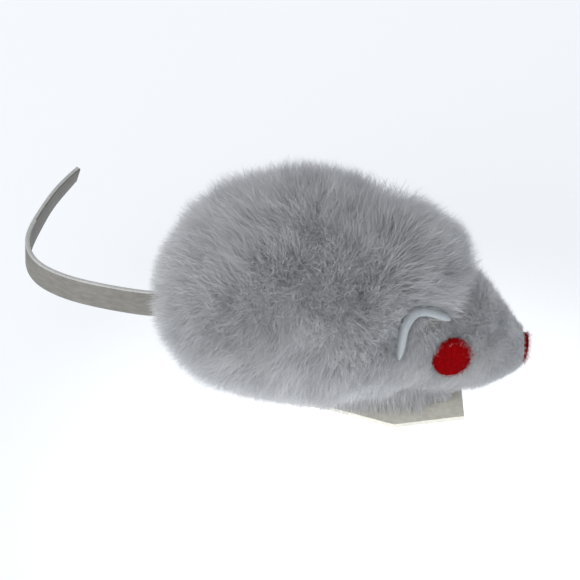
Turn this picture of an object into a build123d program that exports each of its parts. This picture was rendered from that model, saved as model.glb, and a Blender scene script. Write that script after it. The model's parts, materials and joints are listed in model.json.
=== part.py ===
from build123d import *
import os
from math import acos, atan2, cos, degrees, hypot, pi, radians, sin, sqrt, tan

os.makedirs("parts", exist_ok=True)

# A clockwork mouse, in millimetres. The origin is on the floor, on the centre line, half way
# along the fur. +X points to the nose, +Y to the mouse's left, +Z up.

# ---------------------------------------------------------------- driving dimensions
# Base
SOLE_BOTTOM = 2.0
SOLE_THICK = 1.0
PLATE_THICK = 0.8
PLATE_BOTTOM = SOLE_BOTTOM + SOLE_THICK
PLATE_TOP = PLATE_BOTTOM + PLATE_THICK
SHELL_THICK = 0.8
SKIRT_TOP = 20.0
# Half outlines from the front edge to the rear, as (x, half width); a round end closes them.
SOLE_HALF = [(26.1, 11.8), (11.4, 14.3), (-3.0, 8.6), (-12.0, 6.5), (-18.0, 4.9)]
SKIRT_HALF = [(22.5, 7.6), (16.0, 9.1), (2.0, 9.1), (-12.0, 6.4), (-18.0, 4.7)]

# Round forms along X, each section an ellipse: (x, centre height, half width, half height)
FUR_SECTIONS = [
    (-39.6, 25.4, 4.0, 3.8),
    (-36.5, 25.5, 10.2, 9.3),
    (-31.0, 27.0, 17.2, 15.6),
    (-24.0, 27.0, 21.7, 19.8),
    (-15.0, 28.6, 24.6, 22.4),
    (-3.0, 28.3, 26.5, 24.0),
    (9.4, 25.6, 22.2, 20.3),
    (16.0, 24.4, 17.4, 19.4),
    (22.0, 21.6, 12.8, 16.6),
    (27.8, 17.3, 11.0, 11.6),
    (33.9, 13.8, 7.0, 7.2),
    (38.2, 12.2, 3.4, 3.3),
]
SHELL_SECTIONS = [
    (-33.0, 25.6, 3.0, 3.0),
    (-30.0, 26.2, 9.0, 8.4),
    (-24.0, 26.6, 14.6, 13.0),
    (-15.0, 27.4, 18.2, 16.2),
    (-3.0, 27.0, 19.6, 17.6),
    (9.4, 24.9, 16.4, 15.0),
    (16.0, 22.8, 13.2, 13.6),
    (22.0, 18.6, 10.6, 11.6),
    (27.8, 16.1, 8.8, 8.8),
    (33.9, 13.6, 5.2, 5.2),
    (36.9, 12.4, 2.4, 2.4),
]
FUR_TO_SHELL = 0.15

# Felt, leather ears and tail
EYE_RADIUS = 4.3
EYE_THICK = 1.2
EYE_CENTRE = (22.8, 12.35, 19.7)
EYE_NORMAL = (0.30, 0.93, 0.20)
NOSE_RADIUS = 3.0
NOSE_THICK = 1.4
NOSE_CENTRE = (38.1, 0.0, 12.2)
NOSE_NORMAL = (1.0, 0.0, -0.10)
EAR_CENTRE = (16.8, 15.4, 27.2)
EAR_NORMAL = (0.36, 0.91, 0.21)
EAR_RIM_RADIUS = 6.0
EAR_THROAT_RADIUS = 3.0
EAR_DEPTH = 5.0
EAR_THICK = 0.9
EAR_ARC = 180
EAR_START = 35
TAIL_WIDTH = 6.4
TAIL_THICK = 1.0
TAIL_BOTTOM = 20.5
TAIL_ROOT_X = -26.0
TAIL_STRAIGHT_X = -40.0
TAIL_BEND = [
    (-48.5, 2.2),
    (-57.0, 5.6),
    (-62.6, 9.8),
    (-65.2, 15.6),
    (-65.0, 23.0),
    (-62.4, 32.5),
    (-57.4, 44.0),
]
TAIL_END_HEADING = (0.42, 0.91)
TAIL_RIVET_X = TAIL_ROOT_X - 1.6
TAIL_RIVET_RADIUS = 0.8
TAIL_RIVET_HEAD = (1.6, 0.7)
TAIL_SLOT_X = (-36.5, -27.5)
TAIL_SLOT_PLAY = 0.2

# Motor frame: two upright plates, with everything between them
PLATE_INSIDE = 4.2
PLATE_OUTSIDE = 4.9
PILLAR_RADIUS = 1.0
PILLAR_NECK = 0.7
PILLARS = [(-16.4, 22.0), (-11.5, 12.5), (6.0, 35.0), (17.0, 8.5)]
PLATE_EDGE = 2.2
BEARING_EDGE = 2.4
FOOT_OUT = 7.0
FOOT_THICK = 0.7
FOOT_RISE = 6.0
FOOT_X = [(-2.5, 1.5), (16.4, 20.0)]
RUN = 0.05
PRESS = 0.01
SHAFT_PROUD = 0.2

# Gear train
PRESSURE = radians(25)
ADDENDUM = 0.8
DEDENDUM = 1.1
FLANK_RELIEF = 0.045
DEPTH_RELIEF = 0.05
GREAT_TEETH = 48
INTERMEDIATE_PINION_TEETH = 12
INTERMEDIATE_TEETH = 40
DRIVE_PINION_TEETH = 12
GOVERNOR_PINION_TEETH = 10
COARSE = 0.5
FINE = 0.4
ARBOR = (-2.0, 22.5)
AXLE = (9.0, 7.0)
GOVERNOR_BEARING = 60
GREAT_Y = (0.3, 1.1)
RATCHET_Y = (1.3, 2.1)
INTERMEDIATE_PINION_Y = (-0.2, 2.0)
TRAIN_Y = (2.75, 3.35)
TRAIN_HUB_Y = (2.05, 3.35)
TRAIN_HUB_RADIUS = 1.8
TRAIN_HOLES = 5
TRAIN_HOLE_CIRCLE = 4.8
TRAIN_HOLE_RADIUS = 1.9
PINION_Y = (2.5, 3.7)
FLY_Y = (-3.4, 1.8)
FLY_REACH = 4.5
FLY_THICK = 0.5
FLY_HUB_RADIUS = 1.2
ARBOR_RADIUS = 1.5
ARBOR_ROUND_END = 6.0
ARBOR_SQUARE = 2.1
ARBOR_SQUARE_END = 27.3
STAFF_RADIUS = 0.8
GOVERNOR_STAFF_RADIUS = 0.6
AXLE_RADIUS = 1.0

# Click work
RATCHET_TEETH = 12
RATCHET_TIP = 4.6
RATCHET_ROOT = 3.7
CLICK_GAP = 0.15
# Places from here to the mainspring are (x, z) from the arbor
CLICK_PIVOT = (6.13, 5.14)
CLICK_OUTLINE = [(CLICK_GAP, 3.80), (2.3, 4.20), (5.9, 3.95), (5.9, 6.35), (CLICK_GAP, 4.75)]
CLICK_BOSS = 1.3
CLICK_RIVET_RADIUS = 0.6
CLICK_RIVET_HEAD = (1.1, 0.3)
CLICK_SPRING_PATH = [(-4.5, 7.6), (-1.2, 7.0), (1.5, 5.45)]
CLICK_SPRING_STRIP = 0.25
CLICK_SPRING_POST = 0.7
CLICK_SPRING_Y = (1.2, 2.1)

# Mainspring
SPRING_Y = (-3.9, -0.1)
SPRING_STRIP = 0.35
SPRING_INNER = 2.2
SPRING_PITCH = 1.0
SPRING_HALF_TURNS = 14

# Key
KEY_HUB_RADIUS = 2.6
KEY_HUB_Y = (21.5, 30.5)
KEY_SOCKET_END = 27.6
KEY_WING_Y = 33.0
KEY_WEB_Y = (30.0, 34.0)
KEY_SOCKET_PLAY = 0.1
KEY_WING_RADIUS = 4.0
KEY_WING_REACH = 6.3
KEY_WING_THICK = 1.4
EYELET_Y = (17.6, 25.8)
EYELET_BORE = 3.2
EYELET_TUBE = 3.8
EYELET_FLANGE = 5.2
EYELET_FLANGE_THICK = 0.8
KEY_SIDE = (10.0, 40.0)

# Wheels
TYRE_RADIUS = 7.0
RIM_RADIUS = 5.3
WHEEL_Y = (5.3, 7.9)
DISH_DEPTH = 0.5
DISH_RADIUS = 4.4
DISH_HUB_RADIUS = 1.9
TYRE_ROUND = 0.5
WHEEL_SLOT = (-6.8, 6.8)
SLOT_Y = (5.0, 8.2)
TRAIL_PIN = (-13.0, 0.0)
TRAIL_AXLE = (-15.5, 3.0)
TRAIL_RADIUS = 3.0
TRAIL_HALF_WIDTH = 0.9
TRAIL_ROUND = 0.3
TRAIL_AXLE_RADIUS = 0.49
TRAIL_OPENING = (-19.6, -11.4)
TRAIL_OPENING_HALF = 3.7
BRACKET_RIVETS = [(-6.8, 1.3), (-6.8, -1.3)]
BRACKET_THICK = 0.6
BRACKET_ARM = (7.6, 8.2)
BRACKET_HALF = 2.3
BRACKET_WALL_X = -9.5
BRACKET_FOOT_X = (-9.8, -5.0)
FORK_X = (-16.7, -11.4)
FORK_CROWN = (6.7, 7.2)
FORK_LEG = (1.3, 1.8)
FORK_LEG_HALF = 1.2
PIN_RADIUS = 0.7
PIN_HEAD = (1.3, 0.6)
PIN_PROUD = 0.1

# Screws, up through the chassis plate, their heads sunk in the sole
SCREW_RADIUS = 0.6
SCREW_HEAD_RADIUS = 1.1
SCREW_HEAD = 0.6
MOTOR_SCREWS = [(-0.5, 5.95), (-0.5, -5.95), (18.2, 5.95), (18.2, -5.95)]
SHELL_SCREWS = [(20.6, 0.0), (-7.5, 5.2), (-7.5, -5.2)]
BOSS_RADIUS = 1.5
BOSS_TOP = 8.4
BOSS_HOLE_TOP = 7.4
MOTOR_SCREW_TOP = 5.0
SHELL_SCREW_TOP = 6.9


# ---------------------------------------------------------------- helpers
def upright(y):
    """The upright plane at this y. A sketch on it reads as (x, z), and extrudes towards -Y."""
    return Plane.XZ.offset(-y)


def polar(radius, angle, centre=(0.0, 0.0)):
    return (centre[0] + radius * cos(radians(angle)), centre[1] + radius * sin(radians(angle)))


def meeting_point(a, radius_a, b, radius_b):
    """The forward one of the two points at these distances from a and b."""
    apart = hypot(b[0] - a[0], b[1] - a[1])
    along = (radius_a**2 - radius_b**2 + apart**2) / (2 * apart)
    aside = sqrt(radius_a**2 - along**2)
    ux, uz = (b[0] - a[0]) / apart, (b[1] - a[1]) / apart
    return (a[0] + along * ux - aside * uz, a[1] + along * uz + aside * ux)


def bearing(a, b):
    return degrees(atan2(b[1] - a[1], b[0] - a[0]))


def half_outline(points):
    """A closed outline, mirrored about the X axis, with a straight front and a round rear."""
    end_x, end_half = points[-1]
    far_side = [(x, -half) for x, half in reversed(points)]
    Polyline(*points)
    ThreePointArc(points[-1], (end_x - end_half, 0), far_side[0])
    Polyline(*far_side)
    Line(far_side[-1], points[0])


def ellipse_loft(sections, grow):
    """A round body through the ellipses of sections, each grown by grow all round."""
    with BuildPart() as body:
        for x, centre, half_width, half_height in sections:
            with BuildSketch(Plane(origin=(x, 0, centre), x_dir=(0, 1, 0), z_dir=(1, 0, 0))):
                Ellipse(half_width + grow, half_height + grow)
        loft()
    return body.part


def skirt(grow):
    """The upright wall that joins the round shell to the chassis plate, filled in."""
    with BuildPart() as wall:
        with BuildSketch(Plane.XY.offset(PLATE_TOP)):
            with BuildLine():
                front_x, front_half = SKIRT_HALF[0]
                rear = [(x, half + grow) for x, half in SKIRT_HALF[1:]]
                half_outline([(front_x + grow, front_half + grow)] + rear)
            make_face()
        extrude(amount=SKIRT_TOP - PLATE_TOP)
    return wall.part


def gear_profile(teeth, module, first_tooth):
    """An involute gear's outline about the origin, with a tooth at the angle first_tooth."""
    pitch_radius = teeth * module / 2
    base_radius = pitch_radius * cos(PRESSURE)
    tip_radius = pitch_radius + ADDENDUM * module
    root_radius = pitch_radius - DEDENDUM * module
    foot_radius = max(root_radius, base_radius)
    middle_radius = (foot_radius + tip_radius) / 2
    rising = (foot_radius, middle_radius, tip_radius)

    def half_tooth(radius):
        roll = acos(base_radius / radius)
        involute = tan(PRESSURE) - PRESSURE - (tan(roll) - roll)
        return degrees(pi / (2 * teeth) + involute - FLANK_RELIEF / pitch_radius)

    with BuildSketch() as profile:
        with BuildLine():
            for tooth in range(teeth):
                centre = first_tooth + 360 * tooth / teeth
                following = centre + 360 / teeth
                near = [polar(radius, centre - half_tooth(radius)) for radius in rising]
                far = [polar(radius, centre + half_tooth(radius)) for radius in reversed(rising)]
                foot_angle = half_tooth(foot_radius)
                root_end = polar(root_radius, centre + foot_angle)
                if root_radius < foot_radius:
                    Line(polar(root_radius, centre - foot_angle), near[0])
                    Line(far[2], root_end)
                ThreePointArc(*near)
                Line(near[2], far[0])
                ThreePointArc(*far)
                Line(root_end, polar(root_radius, following - foot_angle))
        make_face()
    return profile.sketch


def meshing_tooth(driver_tooth, driver_teeth, driven_teeth, line):
    """The driven gear's first tooth angle, in mesh with a driver that lies back along line."""
    offset = (driver_tooth - line) % (360 / driver_teeth)
    return line + 180 + 180 / driven_teeth - offset * driver_teeth / driven_teeth


def rod(place, radius, span, mode=Mode.ADD):
    """A round rod along Y through place (x, z), from span[0] to span[1], in the open builder."""
    with BuildSketch(upright(span[1])) as section:
        with Locations(place):
            Circle(radius)
    extrude(section.sketch, amount=span[1] - span[0], mode=mode)


def bore(place, radius, span):
    """A round hole along Y through place (x, z), cut from the open builder."""
    rod(place, radius, span, Mode.SUBTRACT)


def post(x, y, radius, bottom, top, mode=Mode.ADD):
    """A round post or hole along Z."""
    with BuildSketch(Plane.XY.offset(bottom)) as section:
        with Locations((x, y)):
            Circle(radius)
    extrude(section.sketch, amount=top - bottom, mode=mode)


def wheel_slots(bottom, top):
    """The two drive-wheel slots and the trailing wheel's opening, cut from a flat piece."""
    with BuildSketch(Plane.XY.offset(bottom)) as openings:
        slot_y = (SLOT_Y[0] + SLOT_Y[1]) / 2
        with Locations((AXLE[0], slot_y), (AXLE[0], -slot_y)):
            Rectangle(WHEEL_SLOT[1] - WHEEL_SLOT[0], SLOT_Y[1] - SLOT_Y[0])
        with Locations(((TRAIL_OPENING[0] + TRAIL_OPENING[1]) / 2, 0)):
            SlotOverall(TRAIL_OPENING[1] - TRAIL_OPENING[0], 2 * TRAIL_OPENING_HALF)
    extrude(openings.sketch, amount=top - bottom, mode=Mode.SUBTRACT)


SIDES = {"left": 1, "right": -1}
GREAT_DISTANCE = COARSE * (GREAT_TEETH + INTERMEDIATE_PINION_TEETH) / 2 + DEPTH_RELIEF
DRIVE_DISTANCE = FINE * (INTERMEDIATE_TEETH + DRIVE_PINION_TEETH) / 2 + DEPTH_RELIEF
GOVERNOR_DISTANCE = FINE * (INTERMEDIATE_TEETH + GOVERNOR_PINION_TEETH) / 2 + DEPTH_RELIEF
STAFF = meeting_point(ARBOR, GREAT_DISTANCE, AXLE, DRIVE_DISTANCE)
GOVERNOR = polar(GOVERNOR_DISTANCE, GOVERNOR_BEARING, STAFF)


def by_arbor(place):
    return (ARBOR[0] + place[0], ARBOR[1] + place[1])


# ---------------------------------------------------------------- base
with BuildPart() as sole:
    with BuildSketch(Plane.XY.offset(SOLE_BOTTOM)):
        with BuildLine():
            half_outline(SOLE_HALF)
        make_face()
    extrude(amount=SOLE_THICK)
    wheel_slots(SOLE_BOTTOM, PLATE_BOTTOM)
    for screw_x, screw_y in MOTOR_SCREWS + SHELL_SCREWS:
        post(screw_x, screw_y, SCREW_HEAD_RADIUS + RUN, SOLE_BOTTOM, PLATE_BOTTOM, Mode.SUBTRACT)
sole.part.label = "sole"
export_step(sole.part, "parts/sole.step")

with BuildPart() as chassis_plate:
    with BuildSketch(Plane.XY.offset(PLATE_BOTTOM)):
        with BuildLine():
            half_outline(SKIRT_HALF)
        make_face()
    extrude(amount=PLATE_THICK)
    wheel_slots(PLATE_BOTTOM, PLATE_TOP)
    for screw_x, screw_y in MOTOR_SCREWS + SHELL_SCREWS:
        post(screw_x, screw_y, SCREW_RADIUS + RUN, PLATE_BOTTOM, PLATE_TOP, Mode.SUBTRACT)
    for rivet_x, rivet_y in BRACKET_RIVETS:
        post(rivet_x, rivet_y, SCREW_RADIUS, PLATE_BOTTOM, PLATE_TOP, Mode.SUBTRACT)
chassis_plate.part.label = "chassis_plate"
export_step(chassis_plate.part, "parts/chassis_plate.step")

with BuildPart() as motor_screws:
    for screw_x, screw_y in MOTOR_SCREWS:
        post(screw_x, screw_y, SCREW_HEAD_RADIUS, PLATE_BOTTOM - SCREW_HEAD, PLATE_BOTTOM)
        post(screw_x, screw_y, SCREW_RADIUS, PLATE_BOTTOM, MOTOR_SCREW_TOP)
motor_screws.part.label = "motor_screws"
export_step(motor_screws.part, "parts/motor_screws.step")

with BuildPart() as shell_screws:
    for screw_x, screw_y in SHELL_SCREWS:
        post(screw_x, screw_y, SCREW_HEAD_RADIUS, PLATE_BOTTOM - SCREW_HEAD, PLATE_BOTTOM)
        post(screw_x, screw_y, SCREW_RADIUS, PLATE_BOTTOM, SHELL_SCREW_TOP)
shell_screws.part.label = "shell_screws"
export_step(shell_screws.part, "parts/shell_screws.step")

# ---------------------------------------------------------------- felt and leather
eyes = {}
for side, sign in SIDES.items():
    eye_plane = Plane(
        origin=(EYE_CENTRE[0], sign * EYE_CENTRE[1], EYE_CENTRE[2]),
        z_dir=(EYE_NORMAL[0], sign * EYE_NORMAL[1], EYE_NORMAL[2]),
    )
    with BuildPart() as eye:
        with BuildSketch(eye_plane.offset(-EYE_THICK / 2)):
            Circle(EYE_RADIUS)
        extrude(amount=EYE_THICK)
        fillet(eye.edges(), radius=EYE_THICK / 4)
    eye.part.label = f"{side}_eye"
    export_step(eye.part, f"parts/{side}_eye.step")
    eyes[side] = eye

with BuildPart() as nose:
    with BuildSketch(Plane(origin=NOSE_CENTRE, z_dir=NOSE_NORMAL)):
        Circle(NOSE_RADIUS)
    extrude(amount=NOSE_THICK)
    fillet(nose.edges(), radius=NOSE_THICK / 4)
nose.part.label = "nose"
export_step(nose.part, "parts/nose.step")

# Each ear is part of a cone: a rolled flap, open towards the eye
ears = {}
for side, sign in SIDES.items():
    ear_plane = Plane(
        origin=(EAR_CENTRE[0], sign * EAR_CENTRE[1], EAR_CENTRE[2]),
        z_dir=(EAR_NORMAL[0], sign * EAR_NORMAL[1], EAR_NORMAL[2]),
        x_dir=(1.0, -sign * EAR_NORMAL[0] / EAR_NORMAL[1], 0.0),
    )
    start = EAR_START if sign < 0 else -EAR_START - EAR_ARC
    edge = Plane(ear_plane.location * Location((0, 0, 0), (0, 0, start)))
    with BuildPart() as ear:
        with BuildSketch(Plane(origin=edge.origin, x_dir=edge.x_dir, z_dir=-edge.y_dir)):
            with BuildLine():
                Polyline(
                    (EAR_THROAT_RADIUS, -EAR_DEPTH),
                    (EAR_RIM_RADIUS, 0),
                    (EAR_RIM_RADIUS + EAR_THICK, 0),
                    (EAR_THROAT_RADIUS + EAR_THICK, -EAR_DEPTH),
                    close=True,
                )
            make_face()
        revolve(axis=Axis(ear_plane.origin, ear_plane.z_dir), revolution_arc=EAR_ARC)
    ear.part.label = f"{side}_ear"
    export_step(ear.part, f"parts/{side}_ear.step")
    ears[side] = ear

with BuildPart() as tail:
    with BuildSketch(Plane.XY.offset(TAIL_BOTTOM)):
        with BuildLine():
            Line((TAIL_ROOT_X, 0), (TAIL_STRAIGHT_X, 0))
            Spline((TAIL_STRAIGHT_X, 0), *TAIL_BEND, tangents=[(-1, 0), TAIL_END_HEADING])
        trace(line_width=TAIL_THICK)
    extrude(amount=TAIL_WIDTH)
    rivet_place = (TAIL_RIVET_X, TAIL_BOTTOM + TAIL_WIDTH / 2)
    bore(rivet_place, TAIL_RIVET_RADIUS, (-TAIL_THICK, TAIL_THICK))
tail.part.label = "tail"
export_step(tail.part, "parts/tail.step")

with BuildPart() as tail_rivet:
    half_grip = TAIL_THICK / 2
    head_radius, head_thick = TAIL_RIVET_HEAD
    rod(rivet_place, TAIL_RIVET_RADIUS, (-half_grip, half_grip))
    rod(rivet_place, head_radius, (half_grip, half_grip + head_thick))
    rod(rivet_place, head_radius, (-half_grip - head_thick, -half_grip))
tail_rivet.part.label = "tail_rivet"
export_step(tail_rivet.part, "parts/tail_rivet.step")

# ---------------------------------------------------------------- body shell and fur
shell_form = ellipse_loft(SHELL_SECTIONS, 0)
shell_hollow = ellipse_loft(SHELL_SECTIONS[1:-1], -SHELL_THICK)
with BuildPart() as body_shell:
    add(shell_form)
    add(skirt(0))
    add(shell_hollow, mode=Mode.SUBTRACT)
    add(skirt(-SHELL_THICK), mode=Mode.SUBTRACT)
    for screw_x, screw_y in SHELL_SCREWS:
        post(screw_x, screw_y, BOSS_RADIUS, PLATE_TOP, BOSS_TOP)
        post(screw_x, screw_y, SCREW_RADIUS + RUN, PLATE_TOP, BOSS_HOLE_TOP, Mode.SUBTRACT)
    with BuildSketch(Plane.XY.offset(TAIL_BOTTOM - TAIL_SLOT_PLAY / 2)) as tail_slot:
        with Locations(((TAIL_SLOT_X[0] + TAIL_SLOT_X[1]) / 2, 0)):
            Rectangle(TAIL_SLOT_X[1] - TAIL_SLOT_X[0], TAIL_THICK + TAIL_SLOT_PLAY)
    extrude(amount=TAIL_WIDTH + TAIL_SLOT_PLAY, mode=Mode.SUBTRACT)
    bore(ARBOR, EYELET_TUBE + RUN, KEY_SIDE)
    for ear in ears.values():
        add(ear.part, mode=Mode.SUBTRACT)
body_shell.part.label = "body_shell"
export_step(body_shell.part, "parts/body_shell.step")

with BuildPart() as fur_cover:
    add(ellipse_loft(FUR_SECTIONS, 0))
    add(ellipse_loft(SHELL_SECTIONS, FUR_TO_SHELL), mode=Mode.SUBTRACT)
    add(skirt(FUR_TO_SHELL), mode=Mode.SUBTRACT)
    bore(ARBOR, EYELET_FLANGE + RUN, KEY_SIDE)
    for snug in (*eyes.values(), *ears.values(), nose, tail):
        add(snug.part, mode=Mode.SUBTRACT)
fur_cover.part.label = "fur_cover"
export_step(fur_cover.part, "parts/fur_cover.step")

with BuildPart() as key_eyelet:
    rod(ARBOR, EYELET_TUBE, EYELET_Y)
    rod(ARBOR, EYELET_FLANGE, (EYELET_Y[1] - EYELET_FLANGE_THICK, EYELET_Y[1]))
    bore(ARBOR, EYELET_BORE, EYELET_Y)
key_eyelet.part.label = "key_eyelet"
export_step(key_eyelet.part, "parts/key_eyelet.step")

# ---------------------------------------------------------------- motor frame
for side, sign in SIDES.items():
    inner, outer = sorted((sign * PLATE_INSIDE, sign * PLATE_OUTSIDE))
    with BuildPart() as motor_plate:
        with BuildSketch(upright(outer)):
            with BuildSketch(mode=Mode.PRIVATE) as corners:
                with Locations(*PILLARS):
                    Circle(PLATE_EDGE)
                with Locations(GOVERNOR, AXLE):
                    Circle(BEARING_EDGE)
            make_hull(corners.edges())
        extrude(amount=PLATE_OUTSIDE - PLATE_INSIDE)
        for foot_start, foot_end in FOOT_X:
            foot_middle = (foot_start + foot_end) / 2
            foot_y = sign * (PLATE_INSIDE + FOOT_OUT) / 2
            with Locations((foot_middle, (inner + outer) / 2, PLATE_TOP + FOOT_RISE / 2)):
                Box(foot_end - foot_start, outer - inner, FOOT_RISE)
            with Locations((foot_middle, foot_y, PLATE_TOP + FOOT_THICK / 2)):
                Box(foot_end - foot_start, FOOT_OUT - PLATE_INSIDE, FOOT_THICK)
        for place in PILLARS:
            bore(place, PILLAR_NECK, (inner, outer))
        bore(ARBOR, ARBOR_RADIUS + RUN, (inner, outer))
        bore(STAFF, STAFF_RADIUS + RUN, (inner, outer))
        bore(AXLE, AXLE_RADIUS + RUN, (inner, outer))
        bore(GOVERNOR, GOVERNOR_STAFF_RADIUS + RUN, (inner, outer))
        for screw_x, screw_y in MOTOR_SCREWS:
            post(screw_x, screw_y, SCREW_RADIUS, PLATE_TOP, PLATE_TOP + FOOT_THICK, Mode.SUBTRACT)
    motor_plate.part.label = f"motor_plate_{side}"
    export_step(motor_plate.part, f"parts/motor_plate_{side}.step")

with BuildPart() as plate_pillars:
    for place in PILLARS:
        rod(place, PILLAR_RADIUS, (-PLATE_INSIDE, PLATE_INSIDE))
        rod(place, PILLAR_NECK, (-PLATE_OUTSIDE - SHAFT_PROUD, PLATE_OUTSIDE + SHAFT_PROUD))
plate_pillars.part.label = "plate_pillars"
export_step(plate_pillars.part, "parts/plate_pillars.step")

# ---------------------------------------------------------------- mainspring, arbor, click work
with BuildPart() as mainspring:
    with BuildSketch(upright(SPRING_Y[1])):
        with BuildLine():
            end = (ARBOR[0] + SPRING_INNER, ARBOR[1])
            for half_turn in range(SPRING_HALF_TURNS):
                radius = SPRING_INNER + SPRING_PITCH * (half_turn + 0.5) / 2
                side_sign = 1 if half_turn % 2 == 0 else -1
                centre_x = end[0] - side_sign * radius
                far_end = (centre_x - side_sign * radius, ARBOR[1])
                ThreePointArc(end, (centre_x, ARBOR[1] + side_sign * radius), far_end)
                end = far_end
        trace(line_width=SPRING_STRIP)
    extrude(amount=SPRING_Y[1] - SPRING_Y[0])
mainspring.part.label = "mainspring"
export_step(mainspring.part, "parts/mainspring.step")

with BuildPart() as winding_arbor:
    rod(ARBOR, ARBOR_RADIUS, (-PLATE_OUTSIDE - SHAFT_PROUD, ARBOR_ROUND_END))
    with BuildSketch(upright(ARBOR_SQUARE_END)):
        with Locations(ARBOR):
            Rectangle(ARBOR_SQUARE, ARBOR_SQUARE)
    extrude(amount=ARBOR_SQUARE_END - ARBOR_ROUND_END)
winding_arbor.part.label = "winding_arbor"
export_step(winding_arbor.part, "parts/winding_arbor.step")

with BuildPart() as ratchet_wheel:
    with BuildSketch(upright(RATCHET_Y[1])):
        with BuildLine():
            saw = []
            for tooth in range(RATCHET_TEETH):
                face = 90 + 360 * tooth / RATCHET_TEETH
                saw += [polar(RATCHET_ROOT, face, ARBOR), polar(RATCHET_TIP, face, ARBOR)]
            Polyline(*saw, close=True)
        make_face()
        with Locations(ARBOR):
            Circle(ARBOR_RADIUS + PRESS, mode=Mode.SUBTRACT)
    extrude(amount=RATCHET_Y[1] - RATCHET_Y[0])
ratchet_wheel.part.label = "ratchet_wheel"
export_step(ratchet_wheel.part, "parts/ratchet_wheel.step")

click_pivot = by_arbor(CLICK_PIVOT)
with BuildPart() as click:
    with BuildSketch(upright(RATCHET_Y[1])):
        with BuildLine():
            Polyline(*[by_arbor(corner) for corner in CLICK_OUTLINE], close=True)
        make_face()
        with Locations(click_pivot):
            Circle(CLICK_BOSS)
            Circle(CLICK_RIVET_RADIUS + RUN, mode=Mode.SUBTRACT)
    extrude(amount=RATCHET_Y[1] - RATCHET_Y[0])
click.part.label = "click"
export_step(click.part, "parts/click.step")

with BuildPart() as click_rivet:
    neck_end = RATCHET_Y[1] + RUN
    rod(click_pivot, CLICK_RIVET_RADIUS, (GREAT_Y[0], neck_end))
    rod(click_pivot, CLICK_RIVET_HEAD[0], (neck_end, neck_end + CLICK_RIVET_HEAD[1]))
click_rivet.part.label = "click_rivet"
export_step(click_rivet.part, "parts/click_rivet.step")

spring_path = [by_arbor(place) for place in CLICK_SPRING_PATH]
with BuildPart() as click_spring:
    with BuildSketch(upright(CLICK_SPRING_Y[1])):
        with BuildLine():
            ThreePointArc(*spring_path)
        trace(line_width=CLICK_SPRING_STRIP)
    extrude(amount=CLICK_SPRING_Y[1] - CLICK_SPRING_Y[0])
    rod(spring_path[0], CLICK_SPRING_POST, (GREAT_Y[1] + PRESS, CLICK_SPRING_Y[1]))
click_spring.part.label = "click_spring"
export_step(click_spring.part, "parts/click_spring.step")

# ---------------------------------------------------------------- gear train
great_line = bearing(ARBOR, STAFF)
great_profile = gear_profile(GREAT_TEETH, COARSE, great_line)
with BuildPart() as great_wheel:
    with BuildSketch(upright(GREAT_Y[1])):
        with Locations(ARBOR):
            add(great_profile)
            Circle(ARBOR_RADIUS + RUN, mode=Mode.SUBTRACT)
        with Locations(click_pivot):
            Circle(CLICK_RIVET_RADIUS, mode=Mode.SUBTRACT)
    extrude(amount=GREAT_Y[1] - GREAT_Y[0])
great_wheel.part.label = "great_wheel"
export_step(great_wheel.part, "parts/great_wheel.step")

pinion_tooth = meshing_tooth(great_line, GREAT_TEETH, INTERMEDIATE_PINION_TEETH, great_line)
pinion_profile = gear_profile(INTERMEDIATE_PINION_TEETH, COARSE, pinion_tooth)
with BuildPart() as intermediate_pinion:
    with BuildSketch(upright(INTERMEDIATE_PINION_Y[1])):
        with Locations(STAFF):
            add(pinion_profile)
            Circle(STAFF_RADIUS + PRESS, mode=Mode.SUBTRACT)
    extrude(amount=INTERMEDIATE_PINION_Y[1] - INTERMEDIATE_PINION_Y[0])
intermediate_pinion.part.label = "intermediate_pinion"
export_step(intermediate_pinion.part, "parts/intermediate_pinion.step")

drive_line = bearing(STAFF, AXLE)
wheel_profile = gear_profile(INTERMEDIATE_TEETH, FINE, drive_line)
with BuildPart() as intermediate_wheel:
    with BuildSketch(upright(TRAIN_Y[1])):
        with Locations(STAFF):
            add(wheel_profile)
            with PolarLocations(TRAIN_HOLE_CIRCLE, TRAIN_HOLES):
                Circle(TRAIN_HOLE_RADIUS, mode=Mode.SUBTRACT)
    extrude(amount=TRAIN_Y[1] - TRAIN_Y[0])
    rod(STAFF, TRAIN_HUB_RADIUS, TRAIN_HUB_Y)
    bore(STAFF, STAFF_RADIUS + PRESS, TRAIN_HUB_Y)
intermediate_wheel.part.label = "intermediate_wheel"
export_step(intermediate_wheel.part, "parts/intermediate_wheel.step")

with BuildPart() as intermediate_arbor:
    rod(STAFF, STAFF_RADIUS, (-PLATE_OUTSIDE - SHAFT_PROUD, PLATE_OUTSIDE + SHAFT_PROUD))
intermediate_arbor.part.label = "intermediate_arbor"
export_step(intermediate_arbor.part, "parts/intermediate_arbor.step")

drive_tooth = meshing_tooth(drive_line, INTERMEDIATE_TEETH, DRIVE_PINION_TEETH, drive_line)
drive_profile = gear_profile(DRIVE_PINION_TEETH, FINE, drive_tooth)
with BuildPart() as drive_pinion:
    with BuildSketch(upright(PINION_Y[1])):
        with Locations(AXLE):
            add(drive_profile)
            Circle(AXLE_RADIUS + PRESS, mode=Mode.SUBTRACT)
    extrude(amount=PINION_Y[1] - PINION_Y[0])
drive_pinion.part.label = "drive_pinion"
export_step(drive_pinion.part, "parts/drive_pinion.step")

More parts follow.
